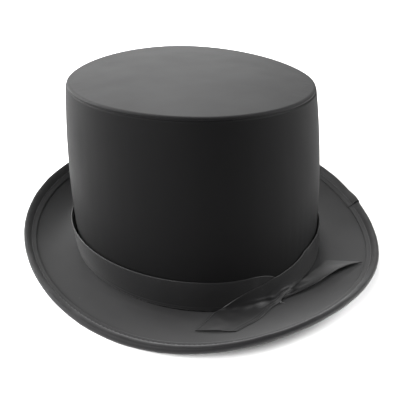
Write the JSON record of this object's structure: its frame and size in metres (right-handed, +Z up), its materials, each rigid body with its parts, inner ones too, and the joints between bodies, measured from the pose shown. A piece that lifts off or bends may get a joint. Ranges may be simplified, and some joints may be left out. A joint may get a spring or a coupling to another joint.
{
  "type": "top hat",
  "caption": "Black satin top hat with a low waisted crown, a dished brim with a folded binding, a ribbon band whose crossed ends make a flat bow, lining and sweatband.",
  "frame": {"origin": "under the middle of the brim, on the surface that the hat stands on", "axes": "+Z up, the front of the hat faces -Y, and the long axis of the head opening is Y"},
  "size_m": [0.2606, 0.3026, 0.1277],
  "materials": {
    "black_satin": "soft matt satin weave, black",
    "ribbon_satin": "satin ribbon with fine selvedges, black",
    "lining_cloth": "thin lining taffeta, black",
    "stiff_felt": "stiffened felt",
    "sweatband_cloth": "grained sweatband cloth, black",
    "spring_steel": "drawn spring wire",
    "thread": "twisted sewing thread"
  },
  "bodies": {
    "root": {"crown_side_cover": "black_satin", "crown_tip_cover": "black_satin", "crown_side_core": "stiff_felt", "crown_tip_core": "stiff_felt", "crown_side_lining": "lining_cloth", "crown_tip_lining": "lining_cloth", "sweatband": "sweatband_cloth", "brim_top_cover": "black_satin", "brim_core": "stiff_felt", "brim_under_cover": "black_satin", "brim_wire": "spring_steel", "brim_binding": "ribbon_satin", "hat_band": "ribbon_satin", "band_tack": "thread"}
  },
  "joints": []
}
